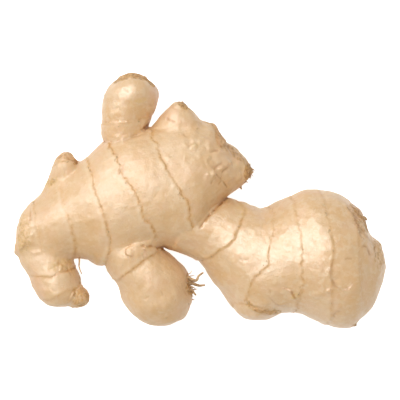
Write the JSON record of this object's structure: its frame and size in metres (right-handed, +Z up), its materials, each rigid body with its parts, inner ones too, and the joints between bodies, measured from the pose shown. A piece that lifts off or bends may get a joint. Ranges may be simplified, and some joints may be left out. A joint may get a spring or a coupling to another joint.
{
  "type": "ginger root",
  "caption": "Whole fresh ginger root: a branched rhizome with ringed, knobbly fingers, bud scars and a few rootlets, lying flat.",
  "frame": {"origin": "centre of the outline's bounding box on the table that the root lies on", "axes": "+X along the root towards its broad end, +Y towards its upper finger, +Z up from the table"},
  "size_m": [0.1304, 0.0893, 0.0358],
  "materials": {
    "ginger_skin": "satin"
  },
  "bodies": {
    "root": {"ginger_root": "ginger_skin"}
  },
  "joints": []
}
